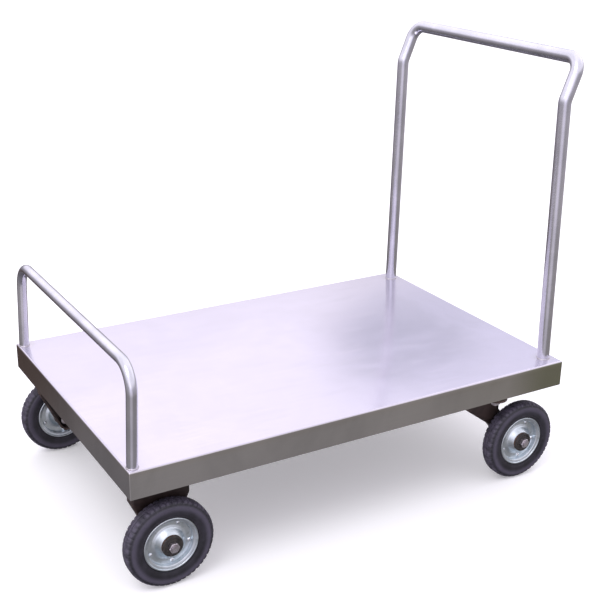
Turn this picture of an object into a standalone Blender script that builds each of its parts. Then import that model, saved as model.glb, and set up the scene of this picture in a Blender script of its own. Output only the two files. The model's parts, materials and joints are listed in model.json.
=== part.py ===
"""Flatbed platform truck: a stainless steel deck tray on a welded underframe.

Two fixed castors stand under the guard rail end and two swivel castors under
the push handle end.  Each castor carries its wheel on a stub axle, on the
outer side of a single pressed leg.

World frame: metres, +Z up, floor at z = 0, +X towards the push handle, +Y
across the deck.  X_SHIFT brings the middle of the whole truck to x = 0.
"""
import math

import bmesh
import bpy
from mathutils import Matrix, Vector

# Clearances
GAP = 0.0003
RUNNING_GAP = 0.0003

# Deck tray
DECK_LENGTH = 1.200
DECK_WIDTH = 0.780
SKIRT_DEPTH = 0.067
SHEET = 0.002
DECK_CORNER_RADIUS = 0.006
DECK_CORNER_STEPS = 2
DECK_OVER_TYRES = 0.107

# Underframe, channels with the web down
BEAM_WIDTH = 0.140
BEAM_DEPTH = 0.050
RAIL_WIDTH = 0.050
CHANNEL_WALL = 0.003
RAIL_SPACING = 0.400
CROSS_X = -0.046

# Push handle tube
HANDLE_TUBE_RADIUS = 0.0159
HANDLE_END_INSET = 0.0300
HANDLE_SIDE_INSET = 0.0423
HANDLE_KINK_HEIGHT = 0.6668
HANDLE_BAR_HEIGHT = 0.7662
HANDLE_LEAN_OUT = 0.0400
HANDLE_TAPER = 0.0120
HANDLE_CORNER_RADIUS = 0.038
HANDLE_KINK_RADIUS = 0.036

# Guard rail tube
RAIL_TUBE_RADIUS = 0.0127
RAIL_END_INSET = 0.0160
RAIL_SIDE_INSET = 0.0207
RAIL_BAR_HEIGHT = 0.2245
RAIL_CORNER_RADIUS = 0.060
RAIL_LEAN = math.radians(2.0)

TUBE_WALL = 0.0018
TUBE_STRAIGHT_FOOT = 0.012
TUBE_SIDES = 12
CORNER_STEPS = 6
KINK_STEPS = 2

# Wheels
TYRE_RADIUS = 0.1055
TYRE_WIDTH = 0.042
TYRE_SHOULDER = 0.0125
WHEEL_SIDE_INSET = 0.0305
FIXED_AXLE_INSET = 0.097
SWIVEL_AXLE_INSET = 0.105
WHEEL_SIDES = 28
HUB_SIDES = 18

# Rim halves, pressed from sheet
RIM_SHEET = 0.002
RIM_LIP_SHARE = 0.6256
RIM_SEAT_STEP = 0.0100
RIM_FLAT_WIDTH = 0.0100
RIM_HALF_WIDTH = 0.0165
RIVET_COUNT = 5
RIVET_RADIUS = 0.0030
RIVET_HEAD_RADIUS = 0.0044
RIVET_HEAD_HEIGHT = 0.0020
RIVET_ANGLE = math.radians(61.0)
RIVET_SIDES = 6

# Hub, bearings and seal
HUB_RADIUS = 0.0245
HUB_HALF_LENGTH = 0.0220
BEARING_RADIUS = 0.0218
BEARING_WIDTH = 0.0140
HUB_SHOULDER_RADIUS = 0.0178
BEARING_RECESS = 0.0020
SEAL_RADIUS = 0.0252
SEAL_BORE = 0.0116
SEAL_THICKNESS = 0.0028

# Stub axle and nut
AXLE_RADIUS = 0.0073
AXLE_COLLAR_RADIUS = 0.0118
AXLE_HEAD_RADIUS = 0.0138
AXLE_HEAD_HEIGHT = 0.0110
AXLE_END_PAST_NUT = 0.0022
NUT_RADIUS = 0.0130
NUT_HEIGHT = 0.0090
NUT_CHAMFER = 0.0012
NUT_COLLAR_RADIUS = 0.0104
AXLE_SIDES = 16
NUT_SIDES = 12
NUT_GAP = 0.0006

# Castor legs, pressed channels open towards the middle of the truck
LEG_SHEET = 0.005
LEG_DEPTH = 0.032
LEG_EDGE_CHAMFER = 0.004
LEG_TYRE_CLEARANCE = 0.0105
BOSS_RADIUS = 0.024
BOSS_STEPS = 8

# Castor top plates
TOP_PLATE = 0.006
PLATE_REACH_IN = 0.0795
PLATE_REACH_OUT = 0.0255

# Fixed castor, its shoulder measured down from the top plate
FIXED_LEG_HALF_WIDTH = 0.069
FIXED_LEG_SHOULDER_DROP = 0.0640

# Swivel castor, outline points measured from the kingpin in X
TRAIL = 0.085
SWIVEL_PLATE_HALF_LENGTH = 0.043
RACE_RADIUS = 0.0260
RACE_HEIGHT = 0.0100
CROWN_RADIUS = 0.0300
CROWN_THICKNESS = 0.0070
CROWN_STEPS = 8
LEG_FRONT = -0.064
LEG_REAR = 0.043
LEG_WAIST_X = 0.027
LEG_FRONT_KNEE_DROP = 0.0348
LEG_WAIST_OVER_AXLE = 0.0345
LEG_REAR_KNEE_OVER_AXLE = 0.0825
KINGPIN_RADIUS = 0.0079
KINGPIN_HEAD_RADIUS = 0.0135
KINGPIN_HEAD_HEIGHT = 0.0080
KINGPIN_NUT_HEIGHT = 0.0140
KINGPIN_NUT_COLLAR = 0.0020
KINGPIN_END_PAST_NUT = 0.0030

# Places that follow from the sizes above, before the shift to the middle
HALF_LENGTH = DECK_LENGTH / 2
HALF_WIDTH = DECK_WIDTH / 2
HANDLE_POST_X = HALF_LENGTH - HANDLE_END_INSET
HANDLE_POST_Y = HALF_WIDTH - HANDLE_SIDE_INSET
RAIL_POST_X = -HALF_LENGTH + RAIL_END_INSET
RAIL_POST_Y = HALF_WIDTH - RAIL_SIDE_INSET
FIXED_AXLE_X = -HALF_LENGTH + FIXED_AXLE_INSET
SWIVEL_AXLE_X = HALF_LENGTH - SWIVEL_AXLE_INSET
KINGPIN_X = SWIVEL_AXLE_X - TRAIL
WHEEL_PLANE_Y = HALF_WIDTH - WHEEL_SIDE_INSET
PLATE_INNER_Y = WHEEL_PLANE_Y - PLATE_REACH_IN
PLATE_OUTER_Y = WHEEL_PLANE_Y + PLATE_REACH_OUT
LEG_WEB_Y = WHEEL_PLANE_Y - TYRE_WIDTH / 2 - LEG_TYRE_CLEARANCE
LEG_WEB_INNER_Y = LEG_WEB_Y - LEG_SHEET
FRONT_END = min(-HALF_LENGTH, FIXED_AXLE_X - TYRE_RADIUS)
HANDLE_END = HANDLE_POST_X + HANDLE_LEAN_OUT + HANDLE_TUBE_RADIUS
X_SHIFT = -(FRONT_END + HANDLE_END) / 2

# Heights that follow, from the deck down
AXLE_Z = TYRE_RADIUS
DECK_HEIGHT = 2 * TYRE_RADIUS + DECK_OVER_TYRES
DECK_UNDERSIDE = DECK_HEIGHT - SHEET
BEAM_TOP = DECK_UNDERSIDE - GAP
BEAM_BOTTOM = BEAM_TOP - BEAM_DEPTH
PLATE_TOP = BEAM_BOTTOM - GAP
PLATE_BOTTOM = PLATE_TOP - TOP_PLATE
RACE_TOP = PLATE_BOTTOM - GAP
RACE_BOTTOM = RACE_TOP - RACE_HEIGHT
CROWN_TOP = RACE_BOTTOM - GAP
CROWN_BOTTOM = CROWN_TOP - CROWN_THICKNESS
FIXED_LEG_SHOULDER = PLATE_BOTTOM - FIXED_LEG_SHOULDER_DROP
LEG_FRONT_KNEE = CROWN_BOTTOM - LEG_FRONT_KNEE_DROP
LEG_WAIST_Z = AXLE_Z + LEG_WAIST_OVER_AXLE
LEG_REAR_KNEE = AXLE_Z + LEG_REAR_KNEE_OVER_AXLE

# Radii and offsets that follow inside a wheel
RIM_LIP_RADIUS = TYRE_RADIUS * RIM_LIP_SHARE
RIM_SEAT_RADIUS = RIM_LIP_RADIUS - RIM_SEAT_STEP
RIM_FLAT_OUTER = RIM_SEAT_RADIUS - RIM_SHEET
RIM_FLAT_INNER = RIM_FLAT_OUTER - RIM_FLAT_WIDTH
RIVET_CIRCLE = (RIM_FLAT_OUTER + RIM_FLAT_INNER) / 2
BEARING_OUTER_FACE = HUB_HALF_LENGTH - BEARING_RECESS

materials = {}


def material(name, colour, metallic, roughness):
    """Make one Principled BSDF material and remember it by name."""
    made = bpy.data.materials.new(name)
    made.use_nodes = True
    shader = made.node_tree.nodes["Principled BSDF"]
    shader.inputs["Base Color"].default_value = (*colour, 1.0)
    shader.inputs["Metallic"].default_value = metallic
    shader.inputs["Roughness"].default_value = roughness
    made.diffuse_color = (*colour, 1.0)
    materials[name] = made
    return made


def clear_scene():
    """Remove whatever the scene holds."""
    for item in list(bpy.data.objects):
        bpy.data.objects.remove(item, do_unlink=True)


def new_object(name, bm, slot, smooth_angle=None):
    """Turn a bmesh into a named object with one material."""
    bmesh.ops.recalc_face_normals(bm, faces=bm.faces)
    mesh = bpy.data.meshes.new(name)
    bm.to_mesh(mesh)
    bm.free()
    item = bpy.data.objects.new(name, mesh)
    bpy.context.collection.objects.link(item)
    mesh.materials.append(materials[slot])
    if smooth_angle is not None:
        mesh.shade_smooth()
        mesh.set_sharp_from_angle(angle=smooth_angle)
    return item


def empty(name, location, parent=None):
    """Make an empty on a joint's axis."""
    item = bpy.data.objects.new(name, None)
    item.location = location
    item.parent = parent
    bpy.context.collection.objects.link(item)
    return item


def add_modifier(item, kind, **settings):
    """Add one modifier with the given settings."""
    made = item.modifiers.new(kind.title(), kind)
    for key, value in settings.items():
        setattr(made, key, value)
    return made


def boolean(item, cutter, operation):
    """Cut or join one object with another, which is hidden from the result."""
    cutter.hide_render = True
    cutter.display_type = "WIRE"
    add_modifier(item, "BOOLEAN", object=cutter, operation=operation, solver="EXACT")


def apply_and_drop(item, cutters):
    """Bake the modifiers of an object into its mesh and remove its cutters."""
    graph = bpy.context.evaluated_depsgraph_get()
    baked = bpy.data.meshes.new_from_object(item.evaluated_get(graph))
    old = item.data
    item.modifiers.clear()
    item.data = baked
    baked.name = old.name
    bpy.data.meshes.remove(old)
    for cutter in cutters:
        bpy.data.objects.remove(cutter, do_unlink=True)


def box_mesh(x_low, x_high, y_low, y_high, z_low, z_high):
    """A closed box between two corners."""
    bm = bmesh.new()
    bmesh.ops.create_cube(bm, size=1.0)
    size = Vector((x_high - x_low, y_high - y_low, z_high - z_low))
    middle = Vector((x_high + x_low, y_high + y_low, z_high + z_low)) / 2
    bmesh.ops.scale(bm, vec=size, verts=bm.verts)
    bmesh.ops.translate(bm, vec=middle, verts=bm.verts)
    return bm


def loop_of(bm, points):
    """Vertices of a closed loop through the points."""
    return [bm.verts.new(point) for point in points]


def bridge(bm, first, second):
    """Quads between two loops of the same length."""
    count = len(first)
    for index in range(count):
        after = (index + 1) % count
        bm.faces.new((first[index], first[after], second[after], second[index]))


def prism_mesh(outline, place, low, high):
    """Extrude a 2-D outline; place(a, b, depth) gives the 3-D point."""
    bm = bmesh.new()
    first = loop_of(bm, [place(a, b, low) for a, b in outline])
    second = loop_of(bm, [place(a, b, high) for a, b in outline])
    bridge(bm, first, second)
    bm.faces.new(first)
    bm.faces.new(second)
    return bm


def along_y(a, b, depth):
    """Outline in X and Z, extruded along Y."""
    return (a, depth, b)


def along_z(a, b, depth):
    """Outline in X and Y, extruded along Z."""
    return (a, b, depth)


def revolve_mesh(profile, sides, axis="Y"):
    """Turn a closed (radius, distance along the axis) profile about the axis."""
    bm = bmesh.new()
    loops = []
    for index in range(sides):
        turn = 2 * math.pi * index / sides
        points = []
        for radius, along in profile:
            across = radius * math.cos(turn)
            up = radius * math.sin(turn)
            points.append((across, along, up) if axis == "Y" else (across, up, along))
        loops.append(loop_of(bm, points))
    for index in range(sides):
        bridge(bm, loops[index], loops[(index + 1) % sides])
    return bm


def turned_mesh(profile, sides, axis="Y"):
    """Turn an open profile whose two ends are closed by flat faces."""
    bm = bmesh.new()
    loops = []
    for radius, along in profile:
        points = []
        for index in range(sides):
            turn = 2 * math.pi * index / sides
            across = radius * math.cos(turn)
            up = radius * math.sin(turn)
            points.append((across, along, up) if axis == "Y" else (across, up, along))
        loops.append(loop_of(bm, points))
    for first, second in zip(loops, loops[1:]):
        bridge(bm, first, second)
    bm.faces.new(loops[0])
    bm.faces.new(loops[-1])
    return bm


def arc(centre, radius, start, end, steps):
    """Points on an arc in a plane, both ends included."""
    points = []
    for index in range(steps + 1):
        turn = start + (end - start) * index / steps
        across = centre[0] + radius * math.cos(turn)
        up = centre[1] + radius * math.sin(turn)
        points.append((across, up))
    return points


def inset(outline, distance):
    """Move every side of a counter-clockwise outline inwards."""
    result = []
    count = len(outline)
    for index in range(count):
        before = Vector(outline[index - 1])
        here = Vector(outline[index])
        after = Vector(outline[(index + 1) % count])
        first = (here - before).normalized()
        second = (after - here).normalized()
        normal_one = Vector((-first.y, first.x))
        normal_two = Vector((-second.y, second.x))
        middle = normal_one + normal_two
        scale = distance / (1.0 + normal_one.dot(normal_two))
        result.append((here.x + middle.x * scale, here.y + middle.y * scale))
    return result


def tangent_angle(point, centre, radius, side):
    """Angle on a circle where the line from a point touches it."""
    offset = Vector(point) - Vector(centre)
    spread = math.acos(radius / offset.length)
    return math.atan2(offset.y, offset.x) + side * spread


# ---------------------------------------------------------------- deck tray

def rounded_rectangle(half_x, half_y, radius, steps):
    """Counter-clockwise rectangle with rounded corners."""
    points = []
    corners = ((1, 1, 0.0), (-1, 1, 0.5), (-1, -1, 1.0), (1, -1, 1.5))
    for sign_x, sign_y, start in corners:
        centre = (sign_x * (half_x - radius), sign_y * (half_y - radius))
        turn = start * math.pi
        points += arc(centre, radius, turn, turn + math.pi / 2, steps)
    return points


def make_deck_tray():
    """Folded sheet tray, open underneath."""
    outer = rounded_rectangle(HALF_LENGTH, HALF_WIDTH, DECK_CORNER_RADIUS, DECK_CORNER_STEPS)
    inner = inset(outer, SHEET)
    edge = inset(outer, SHEET / 2)
    bm = bmesh.new()
    skirt_bottom = DECK_HEIGHT - SKIRT_DEPTH
    levels = (
        (edge, DECK_HEIGHT),
        (outer, DECK_HEIGHT - SHEET / 2),
        (outer, skirt_bottom),
        (inner, skirt_bottom),
        (inner, DECK_UNDERSIDE),
    )
    loops = []
    for outline, height in levels:
        loops.append(loop_of(bm, [(a, b, height) for a, b in outline]))
    for first, second in zip(loops, loops[1:]):
        bridge(bm, first, second)
    bm.faces.new(loops[0])
    bm.faces.new(loops[-1])
    item = new_object("deck_tray", bm, "stainless_sheet", math.radians(40))
    item.location.x = X_SHIFT


def channel_outline(half_width):
    """U section with its web at the bottom, in the cross direction and Z."""
    return [
        (-half_width, BEAM_BOTTOM),
        (half_width, BEAM_BOTTOM),
        (half_width, BEAM_TOP),
        (half_width - CHANNEL_WALL, BEAM_TOP),
        (half_width - CHANNEL_WALL, BEAM_BOTTOM + CHANNEL_WALL),
        (-half_width + CHANNEL_WALL, BEAM_BOTTOM + CHANNEL_WALL),
        (-half_width + CHANNEL_WALL, BEAM_TOP),
        (-half_width, BEAM_TOP),
    ]


def make_beam(name, middle_x, hole_sides):
    """Channel across the deck that carries two castors."""
    half = HALF_WIDTH - SHEET - GAP
    bm = prism_mesh(channel_outline(BEAM_WIDTH / 2), along_y, -half, half)
    item = new_object(name, bm, "frame_steel")
    cutters = []
    if hole_sides:
        radius = KINGPIN_RADIUS + GAP
        low = BEAM_BOTTOM - CHANNEL_WALL
        high = BEAM_BOTTOM + 2 * CHANNEL_WALL
        for side in (-1, 1):
            cutter_mesh = turned_mesh([(radius, low), (radius, high)], hole_sides, "Z")
            cutter = new_object(name + "_hole", cutter_mesh, "frame_steel")
            cutter.location = (0, side * WHEEL_PLANE_Y, 0)
            boolean(item, cutter, "DIFFERENCE")
            cutters.append(cutter)
    bpy.context.view_layer.update()
    apply_and_drop(item, cutters)
    item.location.x = X_SHIFT + middle_x


def make_underframe():
    """Two castor beams, two long rails and one cross member."""
    make_beam("castor_beam_fixed", FIXED_AXLE_X, 0)
    make_beam("castor_beam_swivel", KINGPIN_X, AXLE_SIDES)
    rail_start = FIXED_AXLE_X + BEAM_WIDTH / 2 + GAP
    rail_end = KINGPIN_X - BEAM_WIDTH / 2 - GAP
    for side, name in ((-1, "long_rail_near"), (1, "long_rail_far")):
        outline = channel_outline(RAIL_WIDTH / 2)
        bm = prism_mesh(outline, lambda a, b, depth: (depth, a, b), rail_start, rail_end)
        item = new_object(name, bm, "frame_steel")
        item.location = (X_SHIFT, side * RAIL_SPACING / 2, 0)
    half = RAIL_SPACING / 2 - RAIL_WIDTH / 2 - GAP
    bm = prism_mesh(channel_outline(RAIL_WIDTH / 2), along_y, -half, half)
    item = new_object("cross_member", bm, "frame_steel")
    item.location.x = X_SHIFT + CROSS_X


# ------------------------------------------------------------ bent tubes

def rounded_path(corners, steps):
    """Polyline through the corners with an arc of the given radius at each."""
    points = [corners[0][0]]
    for before, corner, after in zip(corners, corners[1:], corners[2:]):
        here, radius, count = corner[0], corner[1], steps[corner[2]]
        into = (here - before[0]).normalized()
        out = (after[0] - here).normalized()
        half_turn = math.acos(max(-1.0, min(1.0, into.dot(out)))) / 2
        reach = radius * math.tan(half_turn)
        start = here - into * reach
        normal = (out - into * into.dot(out)).normalized()
        centre = start + normal * radius
        for index in range(count + 1):
            turn = 2 * half_turn * index / count
            spoke = -normal * math.cos(turn) + into * math.sin(turn)
            points.append(centre + spoke * radius)
    points.append(corners[-1][0])
    return points


def tube_mesh(path, radius, wall, sides):
    """Hollow tube with open ends along a path."""
    bm = bmesh.new()
    count = len(path)
    tangents = []
    for index in range(count):
        ahead = path[min(index + 1, count - 1)] - path[index]
        behind = path[index] - path[max(index - 1, 0)]
        tangents.append((ahead.normalized() + behind.normalized()).normalized())
    side = Vector((1, 0, 0))
    frames = []
    for index in range(count):
        side = (side - tangents[index] * side.dot(tangents[index])).normalized()
        frames.append((side.copy(), tangents[index].cross(side)))
    skins = []
    for size in (radius, radius - wall):
        loops = []
        for point, (one, two) in zip(path, frames):
            ring = []
            for index in range(sides):
                turn = 2 * math.pi * index / sides
                ring.append(point + (one * math.cos(turn) + two * math.sin(turn)) * size)
            loops.append(loop_of(bm, ring))
        for first, second in zip(loops, loops[1:]):
            bridge(bm, first, second)
        skins.append(loops)
    bridge(bm, skins[0][0], skins[1][0])
    bridge(bm, skins[0][-1], skins[1][-1])
    return bm


def make_push_handle():
    """Tall U of bent tube, slightly narrower upwards, whose top leans outwards."""
    foot = GAP
    straight = TUBE_STRAIGHT_FOOT
    lean = HANDLE_LEAN_OUT
    top_z = HANDLE_BAR_HEIGHT
    kink_z = HANDLE_KINK_HEIGHT
    half = HANDLE_POST_Y
    upper = half - HANDLE_TAPER
    corners = [
        (Vector((0, -half, foot)), 0, None),
        (Vector((0, -half, straight)), HANDLE_CORNER_RADIUS, "foot"),
        (Vector((0, -upper, kink_z)), HANDLE_KINK_RADIUS, "kink"),
        (Vector((lean, -upper, top_z)), HANDLE_CORNER_RADIUS, "corner"),
        (Vector((lean, upper, top_z)), HANDLE_CORNER_RADIUS, "corner"),
        (Vector((0, upper, kink_z)), HANDLE_KINK_RADIUS, "kink"),
        (Vector((0, half, straight)), HANDLE_CORNER_RADIUS, "foot"),
        (Vector((0, half, foot)), 0, None),
    ]
    path = rounded_path(corners, {"foot": 1, "kink": KINK_STEPS, "corner": CORNER_STEPS})
    bm = tube_mesh(path, HANDLE_TUBE_RADIUS, TUBE_WALL, TUBE_SIDES)
    item = new_object("push_handle", bm, "stainless_tube", math.radians(40))
    item.location = (X_SHIFT + HANDLE_POST_X, 0, DECK_HEIGHT)


def make_guard_rail():
    """Low U of bent tube, leaning slightly over the deck."""
    foot = GAP
    top_z = RAIL_BAR_HEIGHT
    lean = RAIL_BAR_HEIGHT * math.tan(RAIL_LEAN)
    half = RAIL_POST_Y
    straight = TUBE_STRAIGHT_FOOT
    corners = [
        (Vector((0, -half, foot)), 0, None),
        (Vector((0, -half, straight)), RAIL_CORNER_RADIUS, "foot"),
        (Vector((lean, -half, top_z)), RAIL_CORNER_RADIUS, "corner"),
        (Vector((lean, half, top_z)), RAIL_CORNER_RADIUS, "corner"),
        (Vector((0, half, straight)), RAIL_CORNER_RADIUS, "foot"),
        (Vector((0, half, foot)), 0, None),
    ]
    path = rounded_path(corners, {"foot": 1, "corner": CORNER_STEPS})
    bm = tube_mesh(path, RAIL_TUBE_RADIUS, TUBE_WALL, TUBE_SIDES)
    item = new_object("guard_rail", bm, "stainless_tube", math.radians(40))
    item.location = (X_SHIFT + RAIL_POST_X, 0, DECK_HEIGHT)


# ---------------------------------------------------------------- wheels

def rim_profile(outward):
    """Closed section of one pressed rim half, radius and offset from the middle."""
    base = GAP / 2
    hub = HUB_RADIUS + GAP
    lip = RIM_LIP_RADIUS
    seat = RIM_SEAT_RADIUS
    edge = RIM_HALF_WIDTH
    sheet = RIM_SHEET
    outer_skin = [
        (hub, edge),
        (RIM_FLAT_INNER, base + sheet),
        (RIM_FLAT_OUTER, base + sheet),
        (RIM_FLAT_OUTER, edge - 0.0030),
        (lip, edge + 0.0004),
    ]
    inner_skin = [
        (lip, edge - 0.0014),
        (seat, edge - 0.0050),
        (seat, base),
        (RIM_FLAT_INNER - 0.0015, base),
        (hub, edge - 0.0022),
    ]
    return [(radius, outward * offset) for radius, offset in outer_skin + inner_skin]


def tyre_profile():
    """Closed section of the solid rubber tyre."""
    half = TYRE_WIDTH / 2
    seat = RIM_SEAT_RADIUS + GAP
    lip = RIM_LIP_RADIUS + GAP
    right = [
        (seat, RIM_HALF_WIDTH - 0.0055),
        (lip, RIM_HALF_WIDTH - 0.0019),
        (lip + 0.0004, RIM_HALF_WIDTH + 0.0010),
        (TYRE_RADIUS - TYRE_SHOULDER, half),
        (TYRE_RADIUS - TYRE_SHOULDER * 0.36, half - TYRE_SHOULDER * 0.32),
        (TYRE_RADIUS, half - TYRE_SHOULDER * 0.88),
    ]
    left = [(radius, -offset) for radius, offset in reversed(right)]
    return right + left


def add_rivets(rim, outward):
    """Join the rivets to the outer rim half."""
    base = GAP / 2
    high = base + RIM_SHEET + RIVET_HEAD_HEIGHT
    low = -(base + RIM_SHEET + GAP + RIVET_HEAD_HEIGHT)
    head_low = -(base + RIM_SHEET + GAP)
    profile = [
        (RIVET_HEAD_RADIUS, low),
        (RIVET_HEAD_RADIUS, head_low),
        (RIVET_RADIUS, head_low),
        (RIVET_RADIUS, base + RIM_SHEET / 2),
        (RIVET_HEAD_RADIUS, base + RIM_SHEET / 2),
        (RIVET_HEAD_RADIUS, high),
    ]
    rivets = []
    for index in range(RIVET_COUNT):
        turn = RIVET_ANGLE + 2 * math.pi * index / RIVET_COUNT
        turned = [(radius, outward * along) for radius, along in profile]
        rivet = new_object("rivet", turned_mesh(turned, RIVET_SIDES), "zinc_plate")
        rivet.location = (RIVET_CIRCLE * math.cos(turn), 0, RIVET_CIRCLE * math.sin(turn))
        boolean(rim, rivet, "UNION")
        rivets.append(rivet)
    return rivets


def cut_rivet_holes(rim, outward):
    """Cut the rivet holes through the inner rim half."""
    cutters = []
    reach = outward * RIM_SHEET * 3
    for index in range(RIVET_COUNT):
        turn = RIVET_ANGLE + 2 * math.pi * index / RIVET_COUNT
        radius = RIVET_RADIUS + GAP
        cutter = new_object(
            "rivet_hole", turned_mesh([(radius, -reach), (radius, reach)], RIVET_SIDES),
            "zinc_plate")
        cutter.location = (RIVET_CIRCLE * math.cos(turn), 0, RIVET_CIRCLE * math.sin(turn))
        boolean(rim, cutter, "DIFFERENCE")
        cutters.append(cutter)
    return cutters


def hub_profile():
    """Closed section of the hub with a bearing seat in each end."""
    seat = BEARING_OUTER_FACE - BEARING_WIDTH - GAP
    bore = BEARING_RADIUS + GAP
    right = [
        (HUB_SHOULDER_RADIUS, seat),
        (bore, seat),
        (bore, HUB_HALF_LENGTH),
        (HUB_RADIUS, HUB_HALF_LENGTH),
    ]
    left = [(radius, -along) for radius, along in reversed(right)]
    return right + left


def ring_profile(bore, radius, low, high):
    """Closed section of a plain ring."""
    return [(bore, low), (radius, low), (radius, high), (bore, high)]


def make_wheel(label, pivot, outward):
    """Tyre, two rim halves, hub, two bearings and the outer seal."""
    smooth = math.radians(38)
    tyre = new_object("tyre_" + label, revolve_mesh(tyre_profile(), WHEEL_SIDES), "rubber", smooth)
    outer = new_object(
        "rim_outer_" + label, revolve_mesh(rim_profile(outward), WHEEL_SIDES), "zinc_plate", smooth)
    inner = new_object(
        "rim_inner_" + label, revolve_mesh(rim_profile(-outward), WHEEL_SIDES), "zinc_plate", smooth)
    rivets = add_rivets(outer, outward)
    holes = cut_rivet_holes(inner, outward)
    bpy.context.view_layer.update()
    apply_and_drop(outer, rivets)
    apply_and_drop(inner, holes)
    hub = new_object("hub_" + label, revolve_mesh(hub_profile(), HUB_SIDES), "frame_steel", smooth)
    parts = [tyre, outer, inner, hub]
    for side, name in ((outward, "bearing_outer_"), (-outward, "bearing_inner_")):
        low = BEARING_OUTER_FACE - BEARING_WIDTH
        profile = ring_profile(AXLE_RADIUS + RUNNING_GAP, BEARING_RADIUS, low, BEARING_OUTER_FACE)
        placed = [(radius, side * along) for radius, along in profile]
        parts.append(new_object(name + label, revolve_mesh(placed, HUB_SIDES), "bearing_steel", smooth))
    low = HUB_HALF_LENGTH + GAP
    profile = ring_profile(SEAL_BORE, SEAL_RADIUS, low, low + SEAL_THICKNESS)
    placed = [(radius, outward * along) for radius, along in profile]
    parts.append(new_object("hub_seal_" + label, revolve_mesh(placed, HUB_SIDES), "seal_rubber", smooth))
    for item in parts:
        item.parent = pivot


def make_axle(label, pivot, outward):
    """Headed stub axle through the leg, and the nut on its outer end."""
    web_inner = LEG_WEB_INNER_Y - WHEEL_PLANE_Y
    web_outer = LEG_WEB_Y - WHEEL_PLANE_Y
    bearing_face = -BEARING_OUTER_FACE
    seal_top = HUB_HALF_LENGTH + GAP + SEAL_THICKNESS
    nut_low = seal_top + GAP
    nut_high = nut_low + NUT_HEIGHT
    axle_end = nut_high + AXLE_END_PAST_NUT
    head_low = web_inner - GAP - AXLE_HEAD_HEIGHT
    shank = [
        (AXLE_HEAD_RADIUS, head_low),
        (AXLE_HEAD_RADIUS, web_inner - GAP),
        (AXLE_RADIUS, web_inner - GAP),
        (AXLE_RADIUS, web_outer + GAP),
        (AXLE_COLLAR_RADIUS, web_outer + GAP),
        (AXLE_COLLAR_RADIUS, bearing_face - GAP),
        (AXLE_RADIUS, bearing_face - GAP),
        (AXLE_RADIUS, axle_end),
    ]
    turned = [(radius, outward * along) for radius, along in shank]
    axle = new_object(
        "axle_" + label, turned_mesh(turned, AXLE_SIDES), "bright_steel", math.radians(38))
    nut = nut_object("axle_nut_" + label, "Y", outward, NUT_RADIUS, AXLE_RADIUS + NUT_GAP,
                     nut_low, nut_high, NUT_COLLAR_RADIUS, BEARING_OUTER_FACE + GAP)
    axle.parent = pivot
    nut.parent = pivot


def nut_object(name, axis, outward, radius, bore, low, high, collar_radius, collar_low):
    """Hexagon nut with a round collar on its inner face."""
    bm = bmesh.new()
    sides = NUT_SIDES

    def ring(size_of, along):
        points = []
        for index in range(sides):
            turn = 2 * math.pi * index / sides
            size = size_of(turn)
            across = size * math.cos(turn)
            up = size * math.sin(turn)
            where = outward * along
            points.append((across, where, up) if axis == "Y" else (across, up, where))
        return loop_of(bm, points)

    def hexagon(turn):
        sector = math.pi / 3
        offset = turn % sector - sector / 2
        return radius * math.cos(sector / 2) / math.cos(offset)

    def chamfered(turn):
        return min(hexagon(turn), radius * math.cos(math.pi / 6) - NUT_CHAMFER / 2)

    loops = [
        ring(lambda turn: bore, collar_low),
        ring(lambda turn: collar_radius, collar_low),
        ring(lambda turn: collar_radius, low),
        ring(hexagon, low),
        ring(hexagon, high - NUT_CHAMFER),
        ring(chamfered, high),
        ring(lambda turn: bore, high),
    ]
    for first, second in zip(loops, loops[1:]):
        bridge(bm, first, second)
    bridge(bm, loops[-1], loops[0])
    return new_object(name, bm, "bright_steel", math.radians(30))


# ---------------------------------------------------------------- castor legs

def fixed_leg_outline():
    """Counter-clockwise outline about the axle, in X and Z."""
    half = FIXED_LEG_HALF_WIDTH
    top = PLATE_BOTTOM + TOP_PLATE / 2
    shoulder = (half, FIXED_LEG_SHOULDER)
    centre = (0.0, AXLE_Z)
    right = tangent_angle(shoulder, centre, BOSS_RADIUS, -1)
    left = -math.pi - right
    boss = arc(centre, BOSS_RADIUS, left, right, BOSS_STEPS)
    return [(half, top), (-half, top), (-half, FIXED_LEG_SHOULDER)] + boss + [shoulder]


def swivel_leg_outline():
    """Counter-clockwise outline about the kingpin, in X and Z."""
    top = CROWN_BOTTOM + CROWN_THICKNESS / 2
    centre = (TRAIL, AXLE_Z)
    waist = (LEG_WAIST_X, LEG_WAIST_Z)
    rear = (LEG_REAR, LEG_REAR_KNEE)
    left = tangent_angle(waist, centre, BOSS_RADIUS, 1)
    right = tangent_angle(rear, centre, BOSS_RADIUS, -1)
    boss = arc(centre, BOSS_RADIUS, left, right + 2 * math.pi, BOSS_STEPS)
    front = [(LEG_FRONT, top), (LEG_FRONT, LEG_FRONT_KNEE), waist]
    return [(LEG_REAR, top)] + front + boss + [rear]


def leg_mesh(outline, side):
    """Pressed channel whose web faces the wheel and whose flanges point inwards."""
    edge = LEG_EDGE_CHAMFER
    sheet = LEG_SHEET
    levels = (
        (inset(outline, edge), LEG_WEB_Y),
        (inset(outline, edge * 0.3), LEG_WEB_Y - edge * 0.3),
        (outline, LEG_WEB_Y - edge),
        (outline, LEG_WEB_Y - LEG_DEPTH),
        (inset(outline, sheet), LEG_WEB_Y - LEG_DEPTH),
        (inset(outline, sheet), LEG_WEB_Y - sheet),
    )
    bm = bmesh.new()
    loops = []
    for points, depth in levels:
        loops.append(loop_of(bm, [(a, side * depth, b) for a, b in points]))
    for first, second in zip(loops, loops[1:]):
        bridge(bm, first, second)
    bm.faces.new(loops[0])
    bm.faces.new(loops[-1])
    return bm


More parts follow.
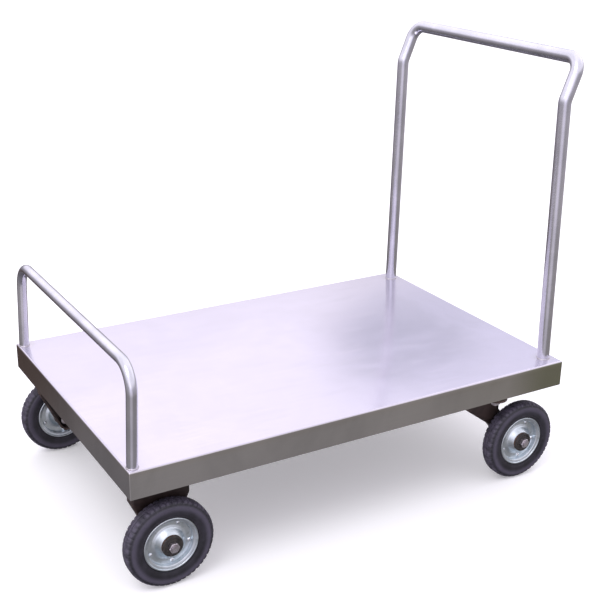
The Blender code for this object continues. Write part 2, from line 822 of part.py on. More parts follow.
def axle_hole(x, side):
    """Cutter for the axle's hole through a leg."""
    radius = AXLE_RADIUS + GAP
    low = side * (LEG_WEB_Y + 0.010)
    high = side * (LEG_WEB_INNER_Y - 0.010)
    cutter = new_object("hole", turned_mesh([(radius, low), (radius, high)], AXLE_SIDES), "frame_steel")
    cutter.location = (x, 0, AXLE_Z)
    return cutter


def make_fixed_bracket(label, side):
    """Top plate and leg of a fixed castor in one welded piece."""
    leg = new_object(
        "fixed_bracket_" + label, leg_mesh(fixed_leg_outline(), side), "bracket_paint",
        math.radians(35))
    inner = side * PLATE_INNER_Y
    outer = side * PLATE_OUTER_Y
    plate = new_object(
        "plate",
        box_mesh(-BEAM_WIDTH / 2, BEAM_WIDTH / 2, min(inner, outer), max(inner, outer),
                 PLATE_BOTTOM, PLATE_TOP),
        "bracket_paint")
    hole = axle_hole(0, side)
    boolean(leg, plate, "UNION")
    boolean(leg, hole, "DIFFERENCE")
    bpy.context.view_layer.update()
    apply_and_drop(leg, [plate, hole])
    leg.location.x = X_SHIFT + FIXED_AXLE_X


def make_swivel_castor(label, side):
    """Top plate, ball race, kingpin and nut on the truck, fork on the pivot."""
    x = X_SHIFT + KINGPIN_X
    y = side * WHEEL_PLANE_Y
    inner = side * PLATE_INNER_Y
    outer = side * PLATE_OUTER_Y
    plate = new_object(
        "swivel_plate_" + label,
        box_mesh(-SWIVEL_PLATE_HALF_LENGTH, SWIVEL_PLATE_HALF_LENGTH,
                 min(inner, outer), max(inner, outer), PLATE_BOTTOM, PLATE_TOP),
        "bracket_paint")
    bore = KINGPIN_RADIUS + GAP
    hole = new_object(
        "hole", turned_mesh([(bore, PLATE_BOTTOM - 0.01), (bore, PLATE_TOP + 0.01)], AXLE_SIDES, "Z"),
        "bracket_paint")
    hole.location.y = y
    boolean(plate, hole, "DIFFERENCE")
    bpy.context.view_layer.update()
    apply_and_drop(plate, [hole])
    plate.location.x = x

    race = new_object(
        "ball_race_" + label,
        revolve_mesh(ring_profile(bore, RACE_RADIUS, RACE_BOTTOM, RACE_TOP), HUB_SIDES, "Z"),
        "bearing_steel", math.radians(38))
    race.location = (x, y, 0)

    head_low = BEAM_BOTTOM + CHANNEL_WALL + GAP
    nut_high = CROWN_BOTTOM - GAP
    nut_low = nut_high - KINGPIN_NUT_HEIGHT
    pin = turned_mesh([
        (KINGPIN_HEAD_RADIUS, head_low + KINGPIN_HEAD_HEIGHT),
        (KINGPIN_HEAD_RADIUS, head_low),
        (KINGPIN_RADIUS, head_low),
        (KINGPIN_RADIUS, nut_low - KINGPIN_END_PAST_NUT),
    ], AXLE_SIDES, "Z")
    pin = new_object("kingpin_" + label, pin, "bright_steel", math.radians(38))
    pin.location = (x, y, 0)
    nut = nut_object("kingpin_nut_" + label, "Z", -1, NUT_RADIUS, KINGPIN_RADIUS + NUT_GAP,
                     -nut_high + KINGPIN_NUT_COLLAR, -nut_low, NUT_COLLAR_RADIUS, -nut_high)
    nut.location = (x, y, 0)

    pivot = empty("swivel_pivot_" + label, (x, y, 0))
    fork = new_object(
        "swivel_fork_" + label, leg_mesh(swivel_leg_outline(), side), "bracket_paint",
        math.radians(35))
    fork.data.transform(Matrix.Translation((0, -y, 0)))
    crown = new_object("crown", crown_mesh(side), "bracket_paint")
    bolt_hole = new_object(
        "hole", turned_mesh([(bore, CROWN_BOTTOM - 0.01), (bore, CROWN_TOP + 0.01)], AXLE_SIDES, "Z"),
        "bracket_paint")
    leg_hole = axle_hole(TRAIL, side)
    leg_hole.location.y = -y
    boolean(fork, crown, "UNION")
    boolean(fork, bolt_hole, "DIFFERENCE")
    boolean(fork, leg_hole, "DIFFERENCE")
    bpy.context.view_layer.update()
    apply_and_drop(fork, [crown, bolt_hole, leg_hole])
    fork.parent = pivot
    return pivot


def crown_mesh(side):
    """Plate from the kingpin to the top of the swivel leg, about the kingpin."""
    web = LEG_WEB_Y - WHEEL_PLANE_Y
    back = web - LEG_DEPTH
    left = (LEG_FRONT, web - LEG_EDGE_CHAMFER)
    right = (LEG_REAR, web - LEG_EDGE_CHAMFER)
    start = tangent_angle(right, (0.0, 0.0), CROWN_RADIUS, 1)
    end = tangent_angle(left, (0.0, 0.0), CROWN_RADIUS, -1)
    if end < start:
        end += 2 * math.pi
    nose = arc((0.0, 0.0), CROWN_RADIUS, start, end, CROWN_STEPS)
    outline = [(LEG_FRONT, back), (LEG_REAR, back), right] + nose + [left]
    placed = [(a, side * b) for a, b in outline]
    return prism_mesh(placed, along_z, CROWN_BOTTOM, CROWN_TOP)


def make_castors():
    """The four castors with their wheels."""
    for side, word in ((-1, "near"), (1, "far")):
        label = "fixed_" + word
        make_fixed_bracket(word, side)
        x = X_SHIFT + FIXED_AXLE_X
        spot = (x, side * WHEEL_PLANE_Y, AXLE_Z)
        make_wheel(label, empty("wheel_pivot_" + label, spot), side)
        make_axle(label, empty("axle_seat_" + label, spot), side)
        label = "swivel_" + word
        pivot = make_swivel_castor(word, side)
        local = (TRAIL, 0, AXLE_Z)
        make_wheel(label, empty("wheel_pivot_" + label, local, pivot), side)
        make_axle(label, empty("axle_seat_" + label, local, pivot), side)


def main():
    """Build the whole truck."""
    clear_scene()
    material("stainless_sheet", (0.62, 0.61, 0.62), 1.0, 0.28)
    material("stainless_tube", (0.68, 0.67, 0.68), 1.0, 0.20)
    material("frame_steel", (0.10, 0.065, 0.055), 0.4, 0.55)
    material("bracket_paint", (0.085, 0.050, 0.042), 0.3, 0.50)
    material("zinc_plate", (0.66, 0.70, 0.74), 1.0, 0.30)
    material("bright_steel", (0.42, 0.40, 0.38), 1.0, 0.38)
    material("bearing_steel", (0.55, 0.55, 0.56), 1.0, 0.22)
    material("rubber", (0.045, 0.045, 0.052), 0.0, 0.62)
    material("seal_rubber", (0.02, 0.02, 0.022), 0.0, 0.45)
    make_deck_tray()
    make_underframe()
    make_push_handle()
    make_guard_rail()
    make_castors()


main()
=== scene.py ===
"""Looks of the flatbed platform truck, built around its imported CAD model."""

import json
import math

import bmesh
import bpy
from mathutils import Matrix, Vector, noise


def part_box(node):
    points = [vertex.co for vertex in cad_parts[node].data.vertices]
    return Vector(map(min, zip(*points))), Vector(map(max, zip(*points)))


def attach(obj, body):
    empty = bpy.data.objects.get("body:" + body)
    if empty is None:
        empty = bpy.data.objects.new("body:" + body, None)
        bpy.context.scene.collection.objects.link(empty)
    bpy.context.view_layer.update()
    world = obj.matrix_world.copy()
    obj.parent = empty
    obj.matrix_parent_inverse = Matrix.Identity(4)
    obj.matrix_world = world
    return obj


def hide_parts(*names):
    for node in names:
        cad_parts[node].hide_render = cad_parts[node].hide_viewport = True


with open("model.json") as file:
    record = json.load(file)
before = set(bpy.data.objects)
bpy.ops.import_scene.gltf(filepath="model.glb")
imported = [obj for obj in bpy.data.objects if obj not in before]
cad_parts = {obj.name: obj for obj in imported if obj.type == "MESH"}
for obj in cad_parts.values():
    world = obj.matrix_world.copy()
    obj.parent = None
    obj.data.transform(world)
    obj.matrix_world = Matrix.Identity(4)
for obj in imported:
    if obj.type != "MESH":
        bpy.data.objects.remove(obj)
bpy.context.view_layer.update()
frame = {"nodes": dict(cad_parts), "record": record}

WHEELS = ("fixed_near", "fixed_far", "swivel_near", "swivel_far")

# Deck tray: sheet, fold and edges
SHEET = 0.002
FOLD_RADIUS = 0.0046
FOLD_STEPS = 6
INNER_FOLD = 0.0008
CORNER_RADIUS = 0.0020
LEAST_CORNER = 0.0008
CORNER_STEPS = 8
DEBURR = 0.0005
STRAIGHT_EDGE = 0.020

# Tubes: their outsides, bends and welds
HANDLE_RADIUS = 0.0159
RAIL_RADIUS = 0.0127
TUBE_WALL = 0.0018
TUBE_SIDES = 48
TUBE_STEP = 0.05
STRAIGHT_FOOT = 0.012
HANDLE_KINK_RISE = 0.6668
HANDLE_TAPER = 0.0120
HANDLE_BEND = 0.038
HANDLE_KINK_BEND = 0.036
RAIL_BEND = 0.060
WELD_BEAD = 0.0032

# Wheels: radii from the axle, offsets from the wheel's middle plane, angles in degrees
TYRE_HALF = 0.021
TYRE_SIDES = 480
NOTCHES = 48
NOTCH_SHARE = 0.34
NOTCH_DEPTH = 0.0024
NOTCH_REACH = 0.0080
NOTCH_INNER_END = 0.0062
RIM_LIP = 0.0660
RIM_EDGE = 0.0165
RIM_SIDES = 144
RIM_FACE = 0.0021
SEAT = 0.0560
HUB_RADIUS = 0.0245
RIVETS = 5
RIVET_ANGLE = 61
RIVET_CIRCLE = 0.049
RIVET_RADIUS = 0.0050
RIVET_FOOT = 0.0005
RIVET_RISE = 0.0027
RIVET_SIDES = 24
SEAL_SIDES = 96

# Rounded edges of the underframe and of the castors' plates
FRAME_EDGE = 0.0012
BRACKET_EDGE = 0.0009

# Camera: its place, its direction in degrees and its lens in millimetres
CAMERA_PLACE = (-1.3488, -2.3271, 1.4929)
CAMERA_AZIMUTH = -30.63
CAMERA_ELEVATION = 20.96
CAMERA_ROLL = 0.886
CAMERA_LENS = 67.2


# ------------------------------------------------------------- places from the CAD

def middle(node):
    """Middle of a CAD node's box."""
    low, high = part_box(node)
    return (low + high) / 2


def outward_of(label):
    """-1 on the near side and +1 on the far side."""
    return -1.0 if label.endswith("near") else 1.0


deck_low, deck_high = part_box("deck_tray")
DECK_TOP = deck_high.z
DECK_MID = (deck_low + deck_high) / 2
handle_low, handle_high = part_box("push_handle")
rail_low, rail_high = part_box("guard_rail")


# ------------------------------------------------------------------ mesh helpers

def finish_mesh(name, bm, mat, angle=35.0, at=(0, 0, 0)):
    """Turn a bmesh into an object with smooth shading and sharp creases."""
    bmesh.ops.recalc_face_normals(bm, faces=bm.faces)
    mesh = bpy.data.meshes.new(name)
    bm.to_mesh(mesh)
    bm.free()
    mesh.shade_smooth()
    mesh.set_sharp_from_angle(angle=math.radians(angle))
    mesh.materials.append(mat)
    item = bpy.data.objects.new(name, mesh)
    item.location = at
    bpy.context.scene.collection.objects.link(item)
    return item


def bridge(bm, first, second):
    """Quads between two closed loops of the same length."""
    count = len(first)
    for index in range(count):
        after = (index + 1) % count
        bm.faces.new((first[index], first[after], second[after], second[index]))


def lathe(profile, sides, ripple=None):
    """Closed (radius, along Y) profile turned about Y; ripple(turn, radius, along) may move a point."""
    bm = bmesh.new()
    loops = []
    for index in range(sides):
        turn = 2 * math.pi * index / sides
        ring = []
        for radius, along in profile:
            if ripple:
                radius, along = ripple(turn, radius, along)
            ring.append(bm.verts.new((radius * math.cos(turn), along, radius * math.sin(turn))))
        loops.append(ring)
    for index in range(sides):
        bridge(bm, loops[index], loops[(index + 1) % sides])
    return bm


def arc(centre, radius, start, end, steps):
    """Points on an arc, angles in degrees."""
    points = []
    for index in range(steps + 1):
        turn = math.radians(start + (end - start) * index / steps)
        points.append((centre[0] + radius * math.cos(turn), centre[1] + radius * math.sin(turn)))
    return points


def smooth_line(points, rounds):
    """Chaikin corner cutting of an open line, ends kept."""
    for _ in range(rounds):
        cut = [points[0]]
        for (a, b), (c, d) in zip(points, points[1:]):
            cut.append((a * 0.75 + c * 0.25, b * 0.75 + d * 0.25))
            cut.append((a * 0.25 + c * 0.75, b * 0.25 + d * 0.75))
        cut.append(points[-1])
        points = cut
    return points


def rounded_path(corners, steps):
    """Line through (point, bend radius) corners with an arc at each inner one."""
    points = [corners[0][0]]
    for before, corner, after in zip(corners, corners[1:], corners[2:]):
        here, radius = corner
        into = (here - before[0]).normalized()
        out = (after[0] - here).normalized()
        half = math.acos(max(-1.0, min(1.0, into.dot(out)))) / 2
        start = here - into * radius * math.tan(half)
        normal = (out - into * into.dot(out)).normalized()
        centre = start + normal * radius
        for index in range(steps + 1):
            turn = 2 * half * index / steps
            points.append(centre + (into * math.sin(turn) - normal * math.cos(turn)) * radius)
    points.append(corners[-1][0])
    return points


def tube(path, radius, wall, sides):
    """Hollow tube along a path, open at both ends, which are closed by rings."""
    bm = bmesh.new()
    count = len(path)
    side = Vector((1, 0, 0))
    skins = {radius: [], radius - wall: []}
    for index in range(count):
        ahead = path[min(index + 1, count - 1)] - path[index]
        behind = path[index] - path[max(index - 1, 0)]
        tangent = (ahead.normalized() + behind.normalized()).normalized()
        side = (side - tangent * side.dot(tangent)).normalized()
        other = tangent.cross(side)
        for size, loops in skins.items():
            ring = []
            for step in range(sides):
                turn = 2 * math.pi * step / sides
                ring.append(bm.verts.new(
                    path[index] + (side * math.cos(turn) + other * math.sin(turn)) * size))
            loops.append(ring)
    outer, inner = skins.values()
    for loops in (outer, inner):
        for first, second in zip(loops, loops[1:]):
            bridge(bm, first, second)
    bridge(bm, outer[0], inner[0])
    bridge(bm, outer[-1], inner[-1])
    return bm


def dense(path, step):
    """Extra points on the long straights, which keep the tube's faces short."""
    points = [path[0]]
    for before, after in zip(path, path[1:]):
        length = (after - before).length
        parts = max(1, int(length / step))
        for index in range(1, parts + 1):
            points.append(before.lerp(after, index / parts))
    return points


# ------------------------------------------------------------------ node helpers

class Nodes:
    """A new material's node tree, with short ways to add what repeats."""

    def __init__(self, name):
        self.mat = bpy.data.materials.new(name)
        self.mat.use_nodes = True
        self.tree = self.mat.node_tree
        self.shader = self.tree.nodes["Principled BSDF"]

    def add(self, kind, **settings):
        """A new node with its settings."""
        node = self.tree.nodes.new(kind)
        for key, value in settings.items():
            setattr(node, key, value)
        return node

    def join(self, source, target):
        self.tree.links.new(source, target)

    def put(self, socket, value):
        """Link an output, or set a plain value."""
        if isinstance(value, bpy.types.NodeSocket):
            self.join(value, socket)
        else:
            socket.default_value = value

    def object_coords(self, scale=(1, 1, 1), turn=(0, 0, 0)):
        """The object's own coordinates in metres, scaled and turned."""
        coords = self.add("ShaderNodeTexCoord")
        mapping = self.add("ShaderNodeMapping")
        mapping.inputs["Scale"].default_value = scale
        mapping.inputs["Rotation"].default_value = turn
        self.join(coords.outputs["Object"], mapping.inputs["Vector"])
        return mapping.outputs["Vector"]

    def noise(self, vector, scale, detail=3.0, rough=0.55, distortion=0.0):
        """Cloudy noise between 0 and 1."""
        node = self.add("ShaderNodeTexNoise")
        self.join(vector, node.inputs["Vector"])
        node.inputs["Scale"].default_value = scale
        node.inputs["Detail"].default_value = detail
        node.inputs["Roughness"].default_value = rough
        node.inputs["Distortion"].default_value = distortion
        return node.outputs["Fac"]

    def span(self, value, low, high, to_low=0.0, to_high=1.0, smooth=True):
        """Map low..high to to_low..to_high, clamped."""
        node = self.add("ShaderNodeMapRange")
        node.interpolation_type = "SMOOTHSTEP" if smooth else "LINEAR"
        self.put(node.inputs["Value"], value)
        node.inputs["From Min"].default_value = low
        node.inputs["From Max"].default_value = high
        node.inputs["To Min"].default_value = to_low
        node.inputs["To Max"].default_value = to_high
        return node.outputs["Result"]

    def math(self, operation, first, second=0.0):
        """One sum; each side is an output or a plain number."""
        node = self.add("ShaderNodeMath", operation=operation)
        self.put(node.inputs[0], first)
        self.put(node.inputs[1], second)
        return node.outputs["Value"]

    def mix(self, factor, first, second, blend="MIX"):
        """Blend of two colours; each is an output or three plain numbers."""
        node = self.add("ShaderNodeMix", data_type="RGBA", blend_type=blend)
        self.put(node.inputs["Factor"], factor)
        for socket, value in ((node.inputs[6], first), (node.inputs[7], second)):
            if isinstance(value, bpy.types.NodeSocket):
                self.join(value, socket)
            else:
                socket.default_value = (*value, 1.0)
        return node.outputs[2]

    def bump(self, height, strength, distance, normal=None):
        """Normal bent by a height, on top of another bump if one is given."""
        node = self.add("ShaderNodeBump")
        node.inputs["Strength"].default_value = strength
        node.inputs["Distance"].default_value = distance
        self.join(height, node.inputs["Height"])
        if normal is not None:
            self.join(normal, node.inputs["Normal"])
        return node.outputs["Normal"]

    def split(self, vector):
        """The X, Y and Z of a vector."""
        node = self.add("ShaderNodeSeparateXYZ")
        self.join(vector, node.inputs[0])
        return node.outputs

    def axle_distance(self, parts):
        """Distance from the object's own Y axis."""
        across = self.math("MULTIPLY", parts[0], parts[0])
        upward = self.math("MULTIPLY", parts[2], parts[2])
        return self.math("SQRT", self.math("ADD", across, upward))

    def surface_normal(self):
        """Normal of the surface in the object's own directions."""
        coords = self.add("ShaderNodeTexCoord")
        return self.split(coords.outputs["Normal"])

    def edges(self, low, high):
        """0 on flats and 1 on outside corners."""
        geometry = self.add("ShaderNodeNewGeometry")
        return self.span(geometry.outputs["Pointiness"], low, high)

    def finish(self, colour, rough, normal=None, **plain):
        """Fill the shader; plain values go straight to its sockets."""
        self.join(colour, self.shader.inputs["Base Color"])
        self.put(self.shader.inputs["Roughness"], rough)
        if normal is not None:
            self.join(normal, self.shader.inputs["Normal"])
        for key, value in plain.items():
            self.put(self.shader.inputs[key.replace("_", " ")], value)
        return self.mat


class WorldNodes(Nodes):
    """The same short ways for a new world's node tree."""

    def __init__(self, name):
        self.mat = bpy.data.worlds.new(name)
        self.mat.use_nodes = True
        self.tree = self.mat.node_tree
        self.back = self.tree.nodes["Background"]


# --------------------------------------------------------------------- materials

def near_points(n, vector, points):
    """Distance in X and Y from the nearest of some points."""
    parts = n.split(vector)
    nearest = None
    for x, y in points:
        dx = n.math("SUBTRACT", parts[0], x)
        dy = n.math("SUBTRACT", parts[1], y)
        both = n.math("ADD", n.math("MULTIPLY", dx, dx), n.math("MULTIPLY", dy, dy))
        length = n.math("SQRT", both)
        nearest = length if nearest is None else n.math("MINIMUM", nearest, length)
    return nearest


def stainless_sheet(feet):
    """Brushed sheet: grain along the deck and wipe marks; painted reflection makes the top lilac and the
    skirts darker and browner, with darker painted reflection on the long skirts towards the handle end and
    on the end skirts towards the far side; a darker ring round each post's foot.
    """
    n = Nodes("stainless_sheet_look")
    flat = n.object_coords()
    grain_top = n.noise(n.object_coords(scale=(6, 900, 900)), 1.0, 4.0, 0.65)
    grain_fine = n.noise(n.object_coords(scale=(22, 2600, 2600)), 1.0, 2.0, 0.6)
    clouds = n.noise(flat, 3.1, 5.0, 0.6, 0.6)
    slant = (0, 0, math.radians(24))
    wipes = n.noise(n.object_coords(scale=(3, 14, 3), turn=slant), 2.2, 6.0, 0.62)
    specks = n.noise(flat, 210.0, 2.0, 0.5)
    slant = (0, 0, math.radians(-13))
    scratches = n.noise(n.object_coords(scale=(4, 260, 1), turn=slant), 1.0, 3.0, 0.7)
    facing = [n.span(n.math("ABSOLUTE", part), 0.35, 0.75) for part in n.surface_normal()[:3]]
    end_skirt, long_skirt, top = facing
    place = n.split(flat)
    # Painted reflection: the top is lighter and lilac for the bright sky it faces, and the skirts are
    # darker and browner for the dim room; it is the same stainless all over.
    tint = n.mix(n.span(clouds, 0.35, 0.68), (0.655, 0.622, 0.715), (0.705, 0.668, 0.775))
    side = n.mix(n.span(clouds, 0.35, 0.68), (0.560, 0.540, 0.530), (0.680, 0.655, 0.640))
    # Painted reflection: the long skirts get darker and olive towards the handle end.
    handle_end_painted_reflection = n.span(place[0], deck_high.x - 0.19, deck_high.x - 0.04)
    side = n.mix(n.math("MULTIPLY", long_skirt, handle_end_painted_reflection), side, (0.43, 0.435, 0.335))
    # Painted reflection: the end skirts get browner towards the far side.
    far_painted_reflection = n.span(place[1], 0.0, deck_high.y, 0.0, 0.9)
    side = n.mix(n.math("MULTIPLY", end_skirt, far_painted_reflection), side, (0.50, 0.40, 0.335))
    # Painted reflection: upward faces take the lilac top colour, upright faces the darker skirt colour.
    colour = n.mix(top, side, tint)
    colour = n.mix(n.span(grain_top, 0.36, 0.66, 0.0, 0.12), colour, (0.46, 0.44, 0.47))
    colour = n.mix(n.span(specks, 0.70, 0.80, 0.0, 0.20), colour, (0.30, 0.27, 0.24))
    # A darker grey ring on the top round each post's foot.
    reach = near_points(n, flat, feet)
    halo = n.span(reach, 0.018, 0.038, 1.0, 0.0)
    ring = n.math("MULTIPLY", halo, top)
    colour = n.mix(n.math("MULTIPLY", ring, 0.30), colour, (0.56, 0.53, 0.54))
    rough = n.math("ADD", 0.10, n.math("MULTIPLY", clouds, 0.09))
    rough = n.math("ADD", rough, n.span(wipes, 0.48, 0.72, 0.0, 0.05))
    rough = n.math("ADD", rough, n.math("MULTIPLY", grain_fine, 0.04))
    rough = n.math("ADD", rough, n.span(scratches, 0.66, 0.74, 0.0, 0.06))
    grain = n.bump(grain_top, 0.04, 0.0003)
    normal = n.bump(grain_fine, 0.03, 0.0002, grain)
    return n.finish(colour, rough, normal, Metallic=1.0, Anisotropic=0.20)


def stainless_tube():
    """Drawn tube: fine polish rings, soft stains and specks."""
    n = Nodes("stainless_tube_look")
    flat = n.object_coords()
    rings = n.noise(n.object_coords(scale=(60, 60, 1500)), 1.0, 3.0, 0.6)
    stains = n.noise(flat, 9.0, 5.0, 0.6, 0.4)
    specks = n.noise(flat, 330.0, 2.0, 0.5)
    colour = n.mix(n.span(stains, 0.35, 0.70), (0.65, 0.650, 0.715), (0.79, 0.785, 0.860))
    colour = n.mix(n.span(specks, 0.70, 0.82, 0.0, 0.22), colour, (0.34, 0.32, 0.31))
    rough = n.math("ADD", 0.13, n.math("MULTIPLY", stains, 0.10))
    rough = n.math("ADD", rough, n.math("MULTIPLY", rings, 0.05))
    normal = n.bump(rings, 0.04, 0.0002)
    return n.finish(colour, rough, normal, Metallic=1.0)


def weld_metal():
    """Dull bead with straw and blue heat tint in its ripples."""
    n = Nodes("weld_look")
    flat = n.object_coords()
    patches = n.noise(flat, 160.0, 4.0, 0.6)
    colour = n.mix(n.span(patches, 0.40, 0.62), (0.60, 0.575, 0.63), (0.50, 0.46, 0.47))
    colour = n.mix(n.span(n.noise(flat, 60.0), 0.55, 0.70, 0.0, 0.5), colour, (0.46, 0.48, 0.58))
    normal = n.bump(n.noise(flat, 700.0, 3.0), 0.18, 0.0004)
    return n.finish(colour, n.span(patches, 0.3, 0.7, 0.34, 0.52), normal, Metallic=1.0)


def painted_steel(name, dark, light, rust):
    """Sprayed paint with orange peel, soft clouds, rust spots and worn, rusty edges."""
    n = Nodes(name)
    flat = n.object_coords()
    clouds = n.noise(flat, 26.0, 5.0, 0.62, 0.4)
    fine = n.noise(flat, 240.0, 4.0, 0.6)
    chips = n.noise(flat, 120.0, 5.0, 0.7)
    colour = n.mix(n.span(clouds, 0.32, 0.70), dark, light)
    worn = n.math("MULTIPLY", n.edges(0.51, 0.60), n.span(chips, 0.42, 0.60))
    colour = n.mix(worn, colour, rust)
    colour = n.mix(n.span(chips, 0.68, 0.76, 0.0, 0.6), colour, rust)
    rough = n.span(clouds, 0.3, 0.7, 0.42, 0.60)
    peel = n.bump(fine, 0.10, 0.0005)
    normal = n.bump(clouds, 0.12, 0.0012, peel)
    return n.finish(colour, rough, normal, Metallic=0.25, Coat_Weight=0.15)


def zinc_plate():
    """Zinc-plated pressing: bluish silver with turned marks, light spangle and dull, greenish patches."""
    n = Nodes("zinc_plate_look")
    flat = n.object_coords()
    parts = n.split(flat)
    radius = n.axle_distance(parts)
    combine = n.add("ShaderNodeCombineXYZ")
    n.join(radius, combine.inputs[0])
    n.join(parts[1], combine.inputs[1])
    turned = n.noise(combine.outputs[0], 900.0, 3.0, 0.6)
    spangle = n.add("ShaderNodeTexVoronoi")
    n.join(flat, spangle.inputs["Vector"])
    spangle.inputs["Scale"].default_value = 190.0
    clouds = n.noise(flat, 42.0, 5.0, 0.6, 0.5)
    colour = n.mix(n.span(clouds, 0.32, 0.68), (0.62, 0.690, 0.730), (0.79, 0.850, 0.895))
    colour = n.mix(n.span(spangle.outputs["Distance"], 0.0, 0.9, 0.0, 0.16), colour,
                   (0.80, 0.84, 0.90))
    colour = n.mix(n.span(n.noise(flat, 70.0, 4.0), 0.56, 0.70, 0.0, 0.38), colour,
                   (0.38, 0.44, 0.42))
    rough = n.math("ADD", 0.22, n.math("MULTIPLY", clouds, 0.16))
    rough = n.math("ADD", rough, n.math("MULTIPLY", turned, 0.06))
    normal = n.bump(turned, 0.06, 0.0003)
    return n.finish(colour, rough, normal, Metallic=1.0)


def steel(name, light, dark, rough_low, rough_high, scale):
    """Plain steel with turned marks, oil film and brown spots."""
    n = Nodes(name)
    flat = n.object_coords()
    clouds = n.noise(flat, scale, 5.0, 0.62)
    marks = n.noise(flat, scale * 9.0, 3.0, 0.6)
    colour = n.mix(n.span(clouds, 0.34, 0.68), light, dark)
    colour = n.mix(n.span(marks, 0.64, 0.76, 0.0, 0.35), colour, (0.22, 0.17, 0.15))
    normal = n.bump(marks, 0.08, 0.0003)
    return n.finish(colour, n.span(clouds, 0.3, 0.7, rough_low, rough_high), normal, Metallic=1.0)


def tyre_rubber():
    """Solid rubber: a painted highlight ring on the sidewalls, dust on the tread and fine moulding grain.
    """
    n = Nodes("tyre_rubber_look")
    flat = n.object_coords()
    parts = n.split(flat)
    radius = n.axle_distance(parts)
    clouds = n.noise(flat, 30.0, 6.0, 0.62, 0.5)
    fine = n.noise(flat, 900.0, 3.0, 0.6)
    scuffs = n.noise(n.object_coords(scale=(1, 0.3, 1)), 75.0, 6.0, 0.7, 0.8)
    colour = n.mix(n.span(clouds, 0.32, 0.68), (0.010, 0.0095, 0.014), (0.021, 0.019, 0.029))
    tread = n.span(radius, 0.0985, 0.1040)
    dusty = n.math("MULTIPLY", tread, n.span(scuffs, 0.36, 0.62, 0.25, 1.0))
    colour = n.mix(n.math("MULTIPLY", dusty, 0.60), colour, (0.118, 0.102, 0.152))
    # Painted highlight: a soft, lighter purple ring round each sidewall near the shoulder, standing for
    # the sky's sheen on the rubber.
    painted_highlight_ring = n.math("MULTIPLY", n.span(radius, 0.0790, 0.0905),
                   n.span(radius, 0.0925, 0.0985, 1.0, 0.0))
    colour = n.mix(n.math("MULTIPLY", painted_highlight_ring, 0.34), colour, (0.130, 0.112, 0.172))
    colour = n.mix(n.span(scuffs, 0.62, 0.74, 0.0, 0.26), colour, (0.110, 0.105, 0.120))
    rough = n.math("ADD", 0.36, n.math("MULTIPLY", clouds, 0.14))
    rough = n.math("ADD", rough, n.math("MULTIPLY", tread, 0.14))
    grain = n.bump(fine, 0.10, 0.0003)
    normal = n.bump(scuffs, 0.10, 0.0006, grain)
    return n.finish(colour, rough, normal, Metallic=0.0, Specular_IOR_Level=0.45)


def seal_material():
    """Moulded black seal with a greasy sheen."""
    n = Nodes("seal_rubber_look")
    flat = n.object_coords()
    clouds = n.noise(flat, 120.0, 4.0, 0.6)
    colour = n.mix(n.span(clouds, 0.35, 0.70), (0.014, 0.013, 0.014), (0.040, 0.032, 0.028))
    normal = n.bump(n.noise(flat, 900.0), 0.10, 0.0002)
    return n.finish(colour, n.span(clouds, 0.3, 0.7, 0.30, 0.55), normal, Metallic=0.0)


handle_x = handle_low.x + HANDLE_RADIUS
rail_x = rail_low.x + RAIL_RADIUS
handle_y = handle_high.y - HANDLE_RADIUS
rail_y = rail_high.y - RAIL_RADIUS
FEET = (
    ("weld_handle_near", handle_x, -handle_y, HANDLE_RADIUS),
    ("weld_handle_far", handle_x, handle_y, HANDLE_RADIUS),
    ("weld_rail_near", rail_x, -rail_y, RAIL_RADIUS),
    ("weld_rail_far", rail_x, rail_y, RAIL_RADIUS),
)

SHEET_LOOK = stainless_sheet([(x, y) for _, x, y, _ in FEET])
TUBE_LOOK = stainless_tube()
WELD_LOOK = weld_metal()
FRAME_LOOK = painted_steel("frame_steel_look", (0.030, 0.019, 0.018), (0.058, 0.038, 0.034),
                           (0.12, 0.065, 0.045))
BRACKET_LOOK = painted_steel("bracket_paint_look", (0.020, 0.013, 0.013), (0.050, 0.031, 0.028),
                             (0.13, 0.070, 0.050))
ZINC_LOOK = zinc_plate()
BRIGHT_LOOK = steel("bright_steel_look", (0.76, 0.72, 0.78), (0.54, 0.49, 0.52), 0.26, 0.42, 90.0)
RIVET_LOOK = steel("rivet_look", (0.86, 0.88, 0.92), (0.70, 0.73, 0.77), 0.20, 0.34, 120.0)
BEARING_LOOK = steel("bearing_steel_look", (0.36, 0.33, 0.32), (0.20, 0.17, 0.16), 0.20, 0.38, 60.0)
RUBBER_LOOK = tyre_rubber()
SEAL_LOOK = seal_material()

BY_SLOT = {
    "stainless_sheet": SHEET_LOOK,
    "stainless_tube": TUBE_LOOK,
    "frame_steel": FRAME_LOOK,
    "bracket_paint": BRACKET_LOOK,
    "zinc_plate": ZINC_LOOK,
    "bright_steel": BRIGHT_LOOK,
    "bearing_steel": BEARING_LOOK,
    "rubber": RUBBER_LOOK,
    "seal_rubber": SEAL_LOOK,
}
for entry in frame["record"]["subparts"]:
    node = frame["nodes"][entry["node"]]
    node.data.materials.clear()
    node.data.materials.append(BY_SLOT[entry["material_slot"]])


# -------------------------------------------------------------------------- deck

def rounded_outline(half_x, half_y, radius, steps):
    """Rounded rectangle about the deck's middle."""
    points = []
    for sign_x, sign_y, start in ((1, 1, 0), (-1, 1, 90), (-1, -1, 180), (1, -1, 270)):
        centre = (sign_x * (half_x - radius), sign_y * (half_y - radius))
        points += arc(centre, radius, start, start + 90, steps)
    return points


